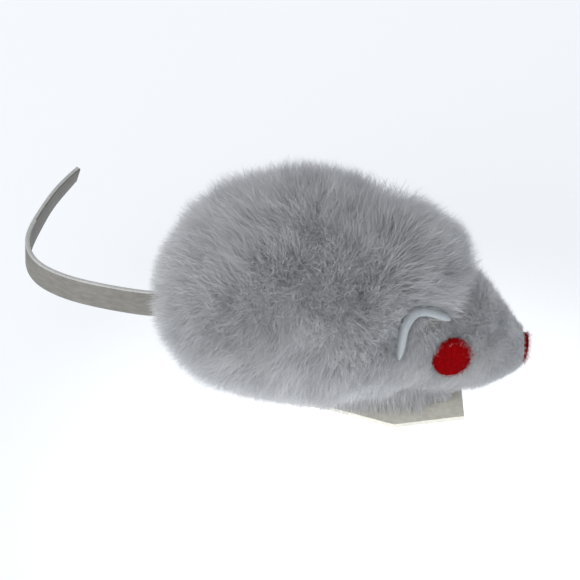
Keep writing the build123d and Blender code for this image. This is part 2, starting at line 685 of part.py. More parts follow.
governor_tooth = meshing_tooth(drive_line, INTERMEDIATE_TEETH, GOVERNOR_PINION_TEETH, GOVERNOR_BEARING)
governor_profile = gear_profile(GOVERNOR_PINION_TEETH, FINE, governor_tooth)
with BuildPart() as governor_pinion:
    with BuildSketch(upright(PINION_Y[1])):
        with Locations(GOVERNOR):
            add(governor_profile)
            Circle(GOVERNOR_STAFF_RADIUS + PRESS, mode=Mode.SUBTRACT)
    extrude(amount=PINION_Y[1] - PINION_Y[0])
governor_pinion.part.label = "governor_pinion"
export_step(governor_pinion.part, "parts/governor_pinion.step")

with BuildPart() as governor_arbor:
    rod(GOVERNOR, GOVERNOR_STAFF_RADIUS, (-PLATE_OUTSIDE - SHAFT_PROUD, PLATE_OUTSIDE + SHAFT_PROUD))
governor_arbor.part.label = "governor_arbor"
export_step(governor_arbor.part, "parts/governor_arbor.step")

with BuildPart() as governor_fly:
    rod(GOVERNOR, FLY_HUB_RADIUS, FLY_Y)
    with BuildSketch(upright(FLY_Y[1])):
        with Locations(GOVERNOR):
            Rectangle(2 * FLY_REACH, FLY_THICK)
    extrude(amount=FLY_Y[1] - FLY_Y[0])
    bore(GOVERNOR, GOVERNOR_STAFF_RADIUS + PRESS, FLY_Y)
governor_fly.part.label = "governor_fly"
export_step(governor_fly.part, "parts/governor_fly.step")

# ---------------------------------------------------------------- drive wheels
with BuildPart() as drive_axle:
    rod(AXLE, AXLE_RADIUS, (-WHEEL_Y[1] - SHAFT_PROUD, WHEEL_Y[1] + SHAFT_PROUD))
drive_axle.part.label = "drive_axle"
export_step(drive_axle.part, "parts/drive_axle.step")

for side, sign in SIDES.items():
    inner, outer = sorted((sign * WHEEL_Y[0], sign * WHEEL_Y[1]))
    dish = (outer - DISH_DEPTH, outer) if sign > 0 else (inner, inner + DISH_DEPTH)
    with BuildPart() as drive_wheel:
        rod(AXLE, RIM_RADIUS, (inner, outer))
        with BuildSketch(upright(dish[1])):
            with Locations(AXLE):
                Circle(DISH_RADIUS)
                Circle(DISH_HUB_RADIUS, mode=Mode.SUBTRACT)
        extrude(amount=dish[1] - dish[0], mode=Mode.SUBTRACT)
        bore(AXLE, AXLE_RADIUS + PRESS, (inner, outer))
    drive_wheel.part.label = f"drive_wheel_{side}"
    export_step(drive_wheel.part, f"parts/drive_wheel_{side}.step")

    with BuildPart() as tyre:
        rod(AXLE, TYRE_RADIUS, (inner, outer))
        fillet(tyre.edges().filter_by(GeomType.CIRCLE), radius=TYRE_ROUND)
        bore(AXLE, RIM_RADIUS + PRESS, (inner, outer))
    tyre.part.label = f"tyre_{side}"
    export_step(tyre.part, f"parts/tyre_{side}.step")

# ---------------------------------------------------------------- trailing wheel
pin_x, pin_y = TRAIL_PIN
wall_start = BRACKET_WALL_X - BRACKET_THICK / 2
wall_end = BRACKET_WALL_X + BRACKET_THICK / 2
with BuildPart() as trailing_bracket:
    with BuildSketch(Plane.XY.offset(BRACKET_ARM[0])):
        with BuildLine():
            arm_left, arm_right = (pin_x, BRACKET_HALF), (pin_x, -BRACKET_HALF)
            Polyline(arm_left, (wall_end, BRACKET_HALF), (wall_end, -BRACKET_HALF), arm_right)
            ThreePointArc(arm_right, (pin_x - BRACKET_HALF, 0), arm_left)
        make_face()
    extrude(amount=BRACKET_ARM[1] - BRACKET_ARM[0])
    with Locations((BRACKET_WALL_X, 0, (PLATE_TOP + BRACKET_ARM[1]) / 2)):
        Box(wall_end - wall_start, 2 * BRACKET_HALF, BRACKET_ARM[1] - PLATE_TOP)
    with Locations(((BRACKET_FOOT_X[0] + BRACKET_FOOT_X[1]) / 2, 0, PLATE_TOP + BRACKET_THICK / 2)):
        Box(BRACKET_FOOT_X[1] - BRACKET_FOOT_X[0], 2 * BRACKET_HALF, BRACKET_THICK)
    post(pin_x, pin_y, PIN_RADIUS + RUN, BRACKET_ARM[0], BRACKET_ARM[1], Mode.SUBTRACT)
    for rivet_x, rivet_y in BRACKET_RIVETS:
        post(rivet_x, rivet_y, SCREW_RADIUS, PLATE_TOP, PLATE_TOP + BRACKET_THICK, Mode.SUBTRACT)
trailing_bracket.part.label = "trailing_bracket"
export_step(trailing_bracket.part, "parts/trailing_bracket.step")

with BuildPart() as bracket_rivets:
    for rivet_x, rivet_y in BRACKET_RIVETS:
        foot_top = PLATE_TOP + BRACKET_THICK
        post(rivet_x, rivet_y, SCREW_RADIUS - PRESS, PLATE_BOTTOM, foot_top)
        post(rivet_x, rivet_y, SCREW_HEAD_RADIUS, foot_top, foot_top + SCREW_HEAD)
bracket_rivets.part.label = "bracket_rivets"
export_step(bracket_rivets.part, "parts/bracket_rivets.step")

with BuildPart() as trailing_fork:
    crown_middle = (FORK_CROWN[0] + FORK_CROWN[1]) / 2
    with Locations(((FORK_X[0] + FORK_X[1]) / 2, 0, crown_middle)):
        Box(FORK_X[1] - FORK_X[0], 2 * FORK_LEG[1], FORK_CROWN[1] - FORK_CROWN[0])
    leg_bottom = TRAIL_AXLE[1] - FORK_LEG_HALF
    leg_middle = (leg_bottom + FORK_CROWN[1]) / 2
    for sign in SIDES.values():
        with Locations((TRAIL_AXLE[0], sign * (FORK_LEG[0] + FORK_LEG[1]) / 2, leg_middle)):
            Box(2 * FORK_LEG_HALF, FORK_LEG[1] - FORK_LEG[0], FORK_CROWN[1] - leg_bottom)
    post(pin_x, pin_y, PIN_RADIUS + PRESS, FORK_CROWN[0], FORK_CROWN[1], Mode.SUBTRACT)
    bore(TRAIL_AXLE, TRAIL_AXLE_RADIUS + PRESS, (-FORK_LEG[1], FORK_LEG[1]))
trailing_fork.part.label = "trailing_fork"
export_step(trailing_fork.part, "parts/trailing_fork.step")

with BuildPart() as fork_pin:
    neck_top = BRACKET_ARM[1] + PIN_PROUD
    post(pin_x, pin_y, PIN_RADIUS, FORK_CROWN[0] - PIN_PROUD, neck_top)
    post(pin_x, pin_y, PIN_HEAD[0], neck_top, neck_top + PIN_HEAD[1])
fork_pin.part.label = "fork_pin"
export_step(fork_pin.part, "parts/fork_pin.step")

with BuildPart() as trailing_axle:
    rod(TRAIL_AXLE, TRAIL_AXLE_RADIUS, (-FORK_LEG[1] - SHAFT_PROUD, FORK_LEG[1] + SHAFT_PROUD))
trailing_axle.part.label = "trailing_axle"
export_step(trailing_axle.part, "parts/trailing_axle.step")

with BuildPart() as trailing_wheel:
    rod(TRAIL_AXLE, TRAIL_RADIUS, (-TRAIL_HALF_WIDTH, TRAIL_HALF_WIDTH))
    fillet(trailing_wheel.edges(), radius=TRAIL_ROUND)
    bore(TRAIL_AXLE, TRAIL_AXLE_RADIUS + RUN, (-TRAIL_HALF_WIDTH, TRAIL_HALF_WIDTH))
trailing_wheel.part.label = "trailing_wheel"
export_step(trailing_wheel.part, "parts/trailing_wheel.step")

# ---------------------------------------------------------------- winding key
with BuildPart() as winding_key:
    rod(ARBOR, KEY_HUB_RADIUS, KEY_HUB_Y)
    with BuildSketch(Plane.XY.offset(ARBOR[1] - KEY_WING_THICK / 2)):
        with Locations((ARBOR[0] - KEY_WING_REACH, KEY_WING_Y), (ARBOR[0] + KEY_WING_REACH, KEY_WING_Y)):
            Circle(KEY_WING_RADIUS)
        with Locations((ARBOR[0], (KEY_WEB_Y[0] + KEY_WEB_Y[1]) / 2)):
            Rectangle(2 * KEY_WING_REACH, KEY_WEB_Y[1] - KEY_WEB_Y[0])
    extrude(amount=KEY_WING_THICK)
    socket = ARBOR_SQUARE + KEY_SOCKET_PLAY
    with BuildSketch(upright(KEY_SOCKET_END)):
        with Locations(ARBOR):
            Rectangle(socket, socket)
    extrude(amount=KEY_SOCKET_END - KEY_HUB_Y[0], mode=Mode.SUBTRACT)
winding_key.part.label = "winding_key"
export_step(winding_key.part, "parts/winding_key.step")
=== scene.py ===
import json
import math

import bpy
import numpy as np
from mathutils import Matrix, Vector, kdtree


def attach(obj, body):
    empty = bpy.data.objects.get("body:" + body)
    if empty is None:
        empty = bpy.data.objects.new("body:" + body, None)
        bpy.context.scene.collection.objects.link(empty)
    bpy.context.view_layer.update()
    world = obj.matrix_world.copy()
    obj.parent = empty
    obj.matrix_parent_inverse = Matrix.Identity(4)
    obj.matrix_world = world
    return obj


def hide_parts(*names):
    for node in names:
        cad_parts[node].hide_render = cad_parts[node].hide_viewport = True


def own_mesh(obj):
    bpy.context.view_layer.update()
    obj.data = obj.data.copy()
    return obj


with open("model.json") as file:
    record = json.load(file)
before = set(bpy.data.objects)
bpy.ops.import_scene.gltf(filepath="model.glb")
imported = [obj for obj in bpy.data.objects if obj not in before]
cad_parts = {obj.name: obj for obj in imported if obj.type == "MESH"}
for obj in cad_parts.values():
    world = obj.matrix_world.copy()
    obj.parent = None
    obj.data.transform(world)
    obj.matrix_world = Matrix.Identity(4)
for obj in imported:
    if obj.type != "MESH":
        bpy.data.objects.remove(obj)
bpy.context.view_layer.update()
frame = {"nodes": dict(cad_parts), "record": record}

# Every length below is in millimetres, in the part's own frame, and MM turns it into metres.
MM = 0.001
SEED = 7

# ------------------------------------------------------------------ shape of the mouse
# Hide sections along X, under the pile: x, centre height, half width, half height
HIDE = np.array([
    (-34.2, 25.0, 2.0, 2.0),
    (-33.0, 25.4, 6.6, 6.2),
    (-30.0, 26.2, 11.6, 10.4),
    (-24.0, 27.0, 16.6, 15.0),
    (-15.0, 28.2, 20.0, 17.9),
    (-3.0, 27.8, 21.3, 19.0),
    (9.4, 25.2, 17.9, 16.7),
    (16.0, 22.6, 14.4, 15.4),
    (19.0, 20.4, 12.9, 14.4),
    (22.0, 18.5, 11.8, 12.9),
    (25.0, 17.2, 11.1, 11.5),
    (27.8, 16.9, 10.6, 11.0),
    (30.8, 15.8, 9.1, 9.3),
    (33.9, 13.8, 6.9, 7.0),
    (36.9, 12.4, 4.7, 4.8),
    (38.5, 12.2, 3.2, 3.2),
])
SKIRT = [(22.5, 7.6), (16.0, 9.1), (2.0, 9.1), (-12.0, 6.4), (-18.0, 4.7)]
SKIRT_MIDDLE = (3.0, 0.0)
SKIRT_BOTTOM = 4.3
SKIRT_TOP = 15.0

EYE_CENTRE = Vector((22.6, 12.3, 20.0))
EYE_NORMAL = Vector((0.30, 0.93, 0.20)).normalized()
EYE_RADIUS = 4.2
EYE_THICK = 1.2
EYE_DOME = 0.35
NOSE_CENTRE = Vector((38.5, 0.0, 11.7))
NOSE_NORMAL = Vector((1.0, 0.0, -0.16))
NOSE_RADIUS = 3.15
NOSE_THICK = 1.0
NOSE_DOME = 0.6
FELT_RINGS = 9
FELT_SPOKES = 48
FUZZ_BASE = 1.3
KEY_AXIS = (-2.0, 22.5)
KEY_CLEARING = 5.4

# Pile lengths and hair widths
BODY_PILE = 7.4
FACE_PILE = 2.7
BROW_PILE = 2.4
SKIRT_PILE = 3.8
LONG_HAIR_WIDTH = 0.105
SHORT_HAIR_WIDTH = 0.08
GUARD_HAIR_WIDTH = 0.085
SKIRT_HAIR_WIDTH = 0.15
STRAY_HAIR_WIDTH = 0.12
FELT_HAIR_WIDTH = 0.07
BODY_HAIRS = 230000
SKIRT_HAIRS = 20000
PIECE_STRANDS = 26000
STRAND_STEPS = 4
STRAND_POINTS = 2 * STRAND_STEPS + 1

# The long pile ends at FACE_EDGE_X low on the side, and HOOD_REACH further forward on the crown
FACE_EDGE_X = 10.5
HOOD_REACH = 13.5
HOOD_FROM_Z = 27.5
HOOD_RISE = 6.0
BLEND_AHEAD = 3.0
BLEND_WIDTH = 5.0
BROW_X = 26.5
BROW_SPREAD = 2.5

# Locks are (strands in each, pull towards its middle)
LARGE_LOCKS = (300, 0.30)
SMALL_LOCKS = (34, 0.50)
LOWEST_TIP = 3.6
LOWEST_SKIRT_TIP = 3.5

# Guard hairs grow within GUARD_REACH of GUARD_X, between two heights
GUARD_X = 3
GUARD_REACH = 15
GUARD_HEIGHTS = (14, 38)
GUARD_CHANCE = 0.07

# The right ear faces along EAR_AXIS. Its rim, from the lower end over the top to the tip near
# the eye, is (forward, up, half thickness) about EAR_CENTRE.
EAR_CENTRE = Vector((16.5, -16.4, 27.9))
EAR_AXIS = Vector((0.36, -0.91, 0.21)).normalized()
EAR_RIM = [
    (-5.2, -3.4, 0.12),
    (-5.0, -2.3, 0.55),
    (-4.6, -0.1, 0.75),
    (-4.1, 3.1, 0.88),
    (-3.1, 5.2, 0.95),
    (-1.7, 6.4, 0.95),
    (0.3, 6.3, 0.95),
    (2.7, 5.3, 0.92),
    (4.7, 4.2, 0.8),
    (5.7, 3.4, 0.12),
]
EAR_HOLLOW = (0.6, -1.6)
EAR_DEPTH = 2.6
EAR_REACH = 7.5

# The tail strap's path, at the middle of its width, and how far its top edge leans out
TAIL_PATH = [
    (-30.0, 0.0), (-35.0, 0.0), (-40.0, 0.1), (-48.5, 2.2), (-57.0, 5.6), (-62.6, 9.8),
    (-65.2, 15.6), (-65.0, 23.0), (-62.4, 32.5), (-57.4, 44.0),
]
TAIL_MIDDLE = 23.7
TAIL_WIDTH = 6.4
TAIL_THICK = 1.0
TAIL_LEAN = 24

# The click spring's path, as (x, z), from its post to the click's back
CLICK_SPRING_PATH = [(-6.5, 30.1), (-3.2, 29.5), (-0.5, 27.95)]
CLICK_SPRING_Y = (1.15, 2.1)
CLICK_SPRING_THICK = 0.22
CLICK_SPRING_POST = 0.7


# ------------------------------------------------------------------ materials
def new_material(name, rough, **fixed):
    """A material with its own node tree, constant values on the shader's own sockets."""
    material = bpy.data.materials.new(name)
    material.use_nodes = True
    shader = material.node_tree.nodes["Principled BSDF"]
    shader.inputs["Roughness"].default_value = rough
    for key, value in fixed.items():
        shader.inputs[key.replace("_", " ")].default_value = value
    return material, material.node_tree, shader


def noise(tree, scale, detail=3.0, stretch=None):
    """Noise over the object's own coordinates; scale is in features per metre."""
    place = tree.nodes.new("ShaderNodeTexCoord")
    texture = tree.nodes.new("ShaderNodeTexNoise")
    texture.inputs["Scale"].default_value = scale
    texture.inputs["Detail"].default_value = detail
    source = place.outputs["Object"]
    if stretch:
        mapping = tree.nodes.new("ShaderNodeMapping")
        mapping.inputs["Scale"].default_value = stretch
        tree.links.new(source, mapping.inputs["Vector"])
        source = mapping.outputs["Vector"]
    tree.links.new(source, texture.inputs["Vector"])
    return texture.outputs["Fac"]


def ramp(tree, source, stops):
    """Colours by a 0 to 1 value: stops are (position, (r, g, b))."""
    node = tree.nodes.new("ShaderNodeValToRGB")
    while len(node.color_ramp.elements) < len(stops):
        node.color_ramp.elements.new(0.5)
    for element, (position, colour) in zip(node.color_ramp.elements, stops):
        element.position = position
        element.color = (*colour, 1)
    tree.links.new(source, node.inputs["Fac"])
    return node.outputs["Color"]


def mixed(tree, kind, amount, first, second):
    node = tree.nodes.new("ShaderNodeMix")
    node.data_type = "RGBA"
    node.blend_type = kind
    node.inputs["Factor"].default_value = amount
    tree.links.new(first, node.inputs["A"])
    tree.links.new(second, node.inputs["B"])
    return node.outputs["Result"]


def bump(tree, shader, height, strength, distance):
    node = tree.nodes.new("ShaderNodeBump")
    node.inputs["Strength"].default_value = strength
    node.inputs["Distance"].default_value = distance
    tree.links.new(height, node.inputs["Height"])
    tree.links.new(node.outputs["Normal"], shader.inputs["Normal"])


def shade(colour, factor):
    return tuple(channel * factor for channel in colour)


def grained(name, colour, rough, scale, spread, depth=0.0, stretch=None, **fixed):
    """A material whose colour varies about one value at two scales, with a matching bump."""
    material, tree, shader = new_material(name, rough, **fixed)
    fine = noise(tree, scale, 4.0, stretch)
    broad = noise(tree, scale / 8, 2.0)
    low, high = shade(colour, 1 - spread), shade(colour, 1 + spread)
    fine_colour = ramp(tree, fine, [(0.3, low), (0.7, high)])
    broad_colour = ramp(tree, broad, [(0.3, (0.88,) * 3), (0.7, (1.0,) * 3)])
    tree.links.new(mixed(tree, "MULTIPLY", 1.0, fine_colour, broad_colour), shader.inputs["Base Color"])
    if depth:
        bump(tree, shader, fine, 0.6, depth * MM)
    return material


FUR_COLOUR = (0.79, 0.793, 0.80)
FUR_ROOT_COLOUR = (0.66, 0.662, 0.668)
GUARD_COLOUR = (0.97, 0.98, 1.0)
GUARD_ROOT_COLOUR = (0.75, 0.76, 0.78)
FELT_COLOUR = (0.23, 0.0006, 0.002)
THROUGH_SHARE = 0.4


def fur_material(name, tip_colour, root_colour):
    """Pile: darker at the root, pale at the tip, in soft patches, with light passing through."""
    material, tree, shader = new_material(name, 0.75, Sheen_Weight=0.25, Sheen_Roughness=0.5)
    along = tree.nodes.new("ShaderNodeAttribute")
    along.attribute_name = "along"
    strand = tree.nodes.new("ShaderNodeAttribute")
    strand.attribute_name = "strand"
    length_stops = [(0.0, root_colour), (0.55, shade(tip_colour, 0.93)), (1.0, tip_colour)]
    length_colour = ramp(tree, along.outputs["Fac"], length_stops)
    each = ramp(tree, strand.outputs["Fac"], [(0.0, (0.84,) * 3), (0.8, (1.0,) * 3), (1.0, (1.12,) * 3)])
    patches = ramp(tree, noise(tree, 120, 2.0), [(0.35, (0.90, 0.90, 0.91)), (0.65, (1.0, 1.0, 1.0))])
    colour = mixed(tree, "MULTIPLY", 1.0, length_colour, each)
    whole = mixed(tree, "MULTIPLY", 1.0, colour, patches)
    tree.links.new(whole, shader.inputs["Base Color"])
    through = tree.nodes.new("ShaderNodeBsdfTranslucent")
    tree.links.new(whole, through.inputs["Color"])
    both = tree.nodes.new("ShaderNodeMixShader")
    both.inputs["Fac"].default_value = THROUGH_SHARE
    tree.links.new(shader.outputs["BSDF"], both.inputs[1])
    tree.links.new(through.outputs["BSDF"], both.inputs[2])
    tree.links.new(both.outputs["Shader"], tree.nodes["Material Output"].inputs["Surface"])
    return material


# grained() takes a name, colour, roughness, grains per metre, spread of colour, bump depth and stretch
fur_look = fur_material("fur_pile", FUR_COLOUR, FUR_ROOT_COLOUR)
guard_look = fur_material("fur_guard_hair", GUARD_COLOUR, GUARD_ROOT_COLOUR)
hide_look = grained("fur_undercoat", (0.62, 0.63, 0.65), 0.95, 1400, 0.15, 0.25)
felt_look = grained("red_wool_felt", FELT_COLOUR, 0.95, 2600, 0.30, 0.12, Specular_IOR_Level=0.04)
felt_hair_look = grained("red_felt_hair", (0.30, 0.002, 0.004), 0.9, 900, 0.2, Specular_IOR_Level=0.04)
ear_look = grained("ear_suede", (0.40, 0.43, 0.45), 0.85, 1800, 0.07, 0.05, Specular_IOR_Level=0.2)
# The ear's lining is the darker suede side, darkened further by painted shade for the hollow under the rolled
# rim
ear_lining_and_painted_shade_look = grained("ear_lining_and_painted_shade", (0.155, 0.16, 0.15), 0.9, 1500, 0.15, 0.05)
dark_hair_look = grained("dark_stray_hair", (0.02, 0.02, 0.02), 0.8, 900, 0.2)
tail_look = grained("tail_leather", (0.19, 0.182, 0.164), 0.62, 1500, 0.14, 0.06, (0.35, 0.35, 1.0))
tail_edge_look = grained("tail_cut_edge", (0.52, 0.52, 0.50), 0.8, 2200, 0.12, 0.05)
sole_look = grained("sole_split_leather", (0.74, 0.72, 0.63), 0.82, 900, 0.10, 0.08)
steel_look = grained("plain_steel", (0.52, 0.52, 0.53), 0.34, 900, 0.10, 0.0, (0.1, 1.0, 1.0), Metallic=1.0)
tin_look = grained("tinned_sheet", (0.60, 0.60, 0.58), 0.42, 350, 0.08, 0.01, Metallic=1.0)
blued_look = grained("blued_spring_steel", (0.10, 0.12, 0.19), 0.30, 700, 0.18, 0.0, Metallic=1.0)
brass_look = grained("worn_brass", (0.66, 0.48, 0.20), 0.36, 600, 0.12, 0.01, Metallic=1.0)
nickel_look = grained("nickel_plate", (0.66, 0.65, 0.62), 0.22, 500, 0.06, 0.01, Metallic=1.0)
rubber_look = grained("tyre_rubber", (0.030, 0.030, 0.032), 0.80, 1600, 0.30, 0.04)
wheel_look = grained("wheel_moulding", (0.09, 0.09, 0.10), 0.48, 900, 0.14, 0.02)
shell_look = grained("shell_moulding", (0.34, 0.35, 0.36), 0.60, 700, 0.08, 0.03)

SLOT_LOOKS = {
    "red_felt": felt_look, "ear_leather": ear_look, "tail_leather": tail_look, "sole_leather": sole_look,
    "shell_plastic": shell_look, "wheel_plastic": wheel_look, "rubber": rubber_look, "tinplate": tin_look,
    "steel": steel_look, "spring_steel": blued_look, "key_steel": nickel_look, "brass": brass_look,
    "fur": hide_look,
}
for entry in frame["record"]["subparts"]:
    cad_piece = frame["nodes"][entry["node"]]
    for material_slot in cad_piece.material_slots:
        material_slot.material = SLOT_LOOKS[entry["material_slot"]]


# ------------------------------------------------------------------ mesh helpers
def make_piece(name, points, faces, material, smooth=True):
    """A mesh piece from points in millimetres."""
    mesh = bpy.data.meshes.new(name)
    mesh.from_pydata([tuple(Vector(p) * MM) for p in points], [], faces)
    mesh.polygons.foreach_set("use_smooth", [smooth] * len(mesh.polygons))
    mesh.materials.append(material)
    mesh.update()
    piece = bpy.data.objects.new(name, mesh)
    bpy.context.scene.collection.objects.link(piece)
    return piece


def smooth_table(table, count):
    """Rows between the table's own, by a smooth cubic through each column."""
    positions = np.linspace(0, len(table) - 1, count)
    index = np.clip(positions.astype(int), 0, len(table) - 2)
    part = (positions - index)[:, None]
    before = table[np.clip(index - 1, 0, None)]
    first, second = table[index], table[index + 1]
    after = table[np.clip(index + 2, None, len(table) - 1)]
    out_slope, in_slope = (second - before) / 2, (after - first) / 2
    return (
        first * (2 * part**3 - 3 * part**2 + 1)
        + out_slope * (part**3 - 2 * part**2 + part)
        + second * (-2 * part**3 + 3 * part**2)
        + in_slope * (part**3 - part**2)
    )


def grid_faces(rows, columns, wrap):
    faces = []
    for row in range(rows - 1):
        for column in range(columns if wrap else columns - 1):
            beside = (column + 1) % columns
            faces.append((
                row * columns + column, row * columns + beside,
                (row + 1) * columns + beside, (row + 1) * columns + column,
            ))
    return faces


def scatter(grid, count, weight, random):
    """Random places over a grid of points (rows, columns, 3), as points and normals."""
    a, b = grid[:-1, :-1], grid[:-1, 1:]
    c, d = grid[1:, 1:], grid[1:, :-1]
    normal = np.cross(d - b, c - a)
    area = np.linalg.norm(normal, axis=2) / 2
    middle = (a + b + c + d) / 4
    chance = (area * weight(middle)).ravel()
    chosen = random.choice(len(chance), count, p=chance / chance.sum())
    row, column = np.divmod(chosen, grid.shape[1] - 1)
    u, v = random.rand(count, 1), random.rand(count, 1)
    points = (
        a[row, column] * (1 - u) * (1 - v) + b[row, column] * u * (1 - v)
        + c[row, column] * u * v + d[row, column] * (1 - u) * v
    )
    normals = normal[row, column] / (2 * area[row, column])[:, None]
    return points, normals


def unit(vectors):
    return vectors / np.maximum(np.linalg.norm(vectors, axis=1, keepdims=True), 1e-9)


def gather(points, tips, spacing, pull, random):
    """Draws strand tips together into locks, about spacing apart."""
    centres = points[random.choice(len(points), max(1, len(points) // spacing), replace=False)]
    tree = kdtree.KDTree(len(centres))
    for index, centre in enumerate(centres):
        tree.insert(centre, index)
    tree.balance()
    nearest = np.array([tree.find(point)[1] for point in points])
    count = np.bincount(nearest, minlength=len(centres)).astype(float)
    mean = np.stack([
        np.bincount(nearest, weights=tips[:, axis], minlength=len(centres)) / np.maximum(count, 1)
        for axis in range(3)
    ], axis=1)
    strength = (pull * (0.4 + 0.6 * random.rand(len(centres))))[nearest][:, None]
    return tips + (mean[nearest] - tips) * strength


def strand_points(roots, span, sag, across, width):
    """Each strand's points, their share of its length, and which side each is on, 0 or 1."""
    points = np.zeros((len(roots), STRAND_POINTS, 3), np.float32)
    along = np.zeros((len(roots), STRAND_POINTS), np.float32)
    side = np.zeros((len(roots), STRAND_POINTS), np.float32)
    for step, t in enumerate(np.linspace(0, 1, STRAND_STEPS + 1)):
        place = roots + span * t + sag * (t * (1 - t) * 4)
        half = (width * (1 - t) ** 0.7 / 2)[:, None]
        if step < STRAND_STEPS:
            points[:, 2 * step] = place - across * half
            points[:, 2 * step + 1] = place + across * half
            along[:, 2 * step:2 * step + 2] = t
            side[:, 2 * step + 1] = 1
        else:
            points[:, 2 * step] = place
            along[:, 2 * step] = 1
            side[:, 2 * step] = 0.5
    return points, along, side


def strand_faces(count):
    """Quads up each strand and a triangle at its tip, as corner indices and face sizes."""
    first = (np.arange(count) * STRAND_POINTS)[:, None]
    last = 2 * (STRAND_STEPS - 1)
    parts = [first + np.array([[low, low + 1, low + 3, low + 2]]) for low in range(0, last, 2)]
    parts.append(first + np.array([[last, last + 1, last + 2]]))
    return np.concatenate(parts, axis=1), np.tile([4] * (STRAND_STEPS - 1) + [3], count)


def strand_uvs(along, side):
    """A cell of the UV square for each strand, so that a bake keeps each strand's own colours."""
    count = len(along)
    cells = math.ceil(math.sqrt(count))
    column, row = np.divmod(np.arange(count), cells)
    u = (column[:, None] + 0.1 + 0.8 * side) / cells
    v = (row[:, None] + 0.1 + 0.8 * along) / cells
    return np.stack([u, v], axis=2).reshape(-1, 2)


def strand_mesh(name, points, along, side, shades, material):
    corners, sizes = strand_faces(len(points))
    mesh = bpy.data.meshes.new(name)
    mesh.vertices.add(points.shape[0] * STRAND_POINTS)
    mesh.vertices.foreach_set("co", (points * MM).ravel())
    mesh.loops.add(corners.size)
    mesh.loops.foreach_set("vertex_index", corners.ravel().astype(np.int32))
    mesh.polygons.add(len(sizes))
    mesh.polygons.foreach_set("loop_start", (np.cumsum(sizes) - sizes).astype(np.int32))
    mesh.polygons.foreach_set("use_smooth", np.ones(len(sizes), bool))
    mesh.update(calc_edges=True)
    mesh.attributes.new("along", "FLOAT", "POINT").data.foreach_set("value", along.ravel())
    each = np.repeat(shades, STRAND_POINTS).astype(np.float32)
    mesh.attributes.new("strand", "FLOAT", "POINT").data.foreach_set("value", each)
    uvs = strand_uvs(along, side)[corners.ravel()]
    mesh.uv_layers.new(name="OFBake").data.foreach_set("uv", uvs.ravel().astype(np.float32))
    mesh.materials.append(material)
    return mesh


def pile(name, roots, tips, sag, width, material, body, random):
    """Tapered strands from roots to tips that bow by sag, in pieces of PIECE_STRANDS."""
    span = tips - roots
    across = unit(np.cross(span, unit(random.randn(*roots.shape))))
    shades = np.clip(random.rand(len(roots)), 0, 1)
    for number, start in enumerate(range(0, len(roots), PIECE_STRANDS), 1):
        part = slice(start, start + PIECE_STRANDS)
        points, along, side = strand_points(roots[part], span[part], sag[part], across[part], width[part])
        mesh = strand_mesh(name, points, along, side, shades[part], material)
        piece = bpy.data.objects.new(f"{name}_{number}", mesh)
        bpy.context.scene.collection.objects.link(piece)
        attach(piece, body)


# ------------------------------------------------------------------ hide
hide_rows = smooth_table(HIDE, 150)
around = np.linspace(0, 2 * math.pi, 145)
hide_grid = np.stack([
    np.repeat(hide_rows[:, :1], len(around), axis=1),
    hide_rows[:, 2:3] * np.sin(around)[None],
    hide_rows[:, 1:2] + hide_rows[:, 3:4] * np.cos(around)[None],
], axis=2)


def skirt_line(count):
    """The upright wall's outline, front right to front left, as (x, y) points."""
    end_x, end_half = SKIRT[-1]
    near = [(x, -half) for x, half in SKIRT]
    turn = [
        (end_x - end_half * math.sin(a), -end_half * math.cos(a))
        for a in np.linspace(0, math.pi, 9)[1:-1]
    ]
    far = [(x, half) for x, half in reversed(SKIRT)]
    ring = np.array([*near, *turn, *far, near[0]])
    run = np.concatenate([[0], np.cumsum(np.linalg.norm(np.diff(ring, axis=0), axis=1))])
    where = np.linspace(0, run[-1], count)
    return np.stack([np.interp(where, run, ring[:, 0]), np.interp(where, run, ring[:, 1])], axis=1)


skirt_ring = skirt_line(161)
skirt_out = unit(skirt_ring - np.array([SKIRT_MIDDLE])) * 0.35
skirt_heights = np.linspace(SKIRT_BOTTOM, SKIRT_TOP, 12)
skirt_grid = np.stack([
    np.concatenate([skirt_ring + skirt_out, np.full((len(skirt_ring), 1), z)], axis=1) for z in skirt_heights
])

hide_points = hide_grid[:, :-1].reshape(-1, 3)
ring_size = len(around) - 1
hide_faces = grid_faces(len(hide_rows), ring_size, True)
hide_faces.append(tuple(range(ring_size)))
hide_faces.append(tuple(reversed(range((len(hide_rows) - 1) * ring_size, len(hide_rows) * ring_size))))
hide = make_piece("fur_hide", hide_points, hide_faces, hide_look)
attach(hide, "chassis")
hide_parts("fur_cover")

skirt_points = skirt_grid[:, :-1].reshape(-1, 3)
skirt_hide = make_piece(
    "fur_hide_skirt", skirt_points, grid_faces(len(skirt_heights), len(skirt_ring) - 1, True), hide_look
)
skirt_wall = skirt_hide.modifiers.new("thickness", "SOLIDIFY")
skirt_wall.thickness = 0.2 * MM
skirt_wall.offset = 1
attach(skirt_hide, "chassis")


# ------------------------------------------------------------------ pile
def away_from(points, centre, radius):
    return np.linalg.norm(points - np.array(centre), axis=1) > radius


def bare_places(points):
    """True where hair may grow: not under the felt, at the eyelet or at the tail."""
    keep = away_from(points, NOSE_CENTRE, NOSE_RADIUS * 0.9)
    for sign in (1, -1):
        eye = np.array((EYE_CENTRE.x, sign * EYE_CENTRE.y, EYE_CENTRE.z))
        keep &= away_from(points, eye, EYE_RADIUS * 0.98)
    key_distance = np.hypot(points[:, 0] - KEY_AXIS[0], points[:, 2] - KEY_AXIS[1])
    keep &= ~((key_distance < KEY_CLEARING) & (points[:, 1] > 0))
    at_tail = (np.abs(points[:, 1]) < 1.2) & (np.abs(points[:, 2] - TAIL_MIDDLE) < 4)
    return keep & ~(at_tail & (points[:, 0] < -30))


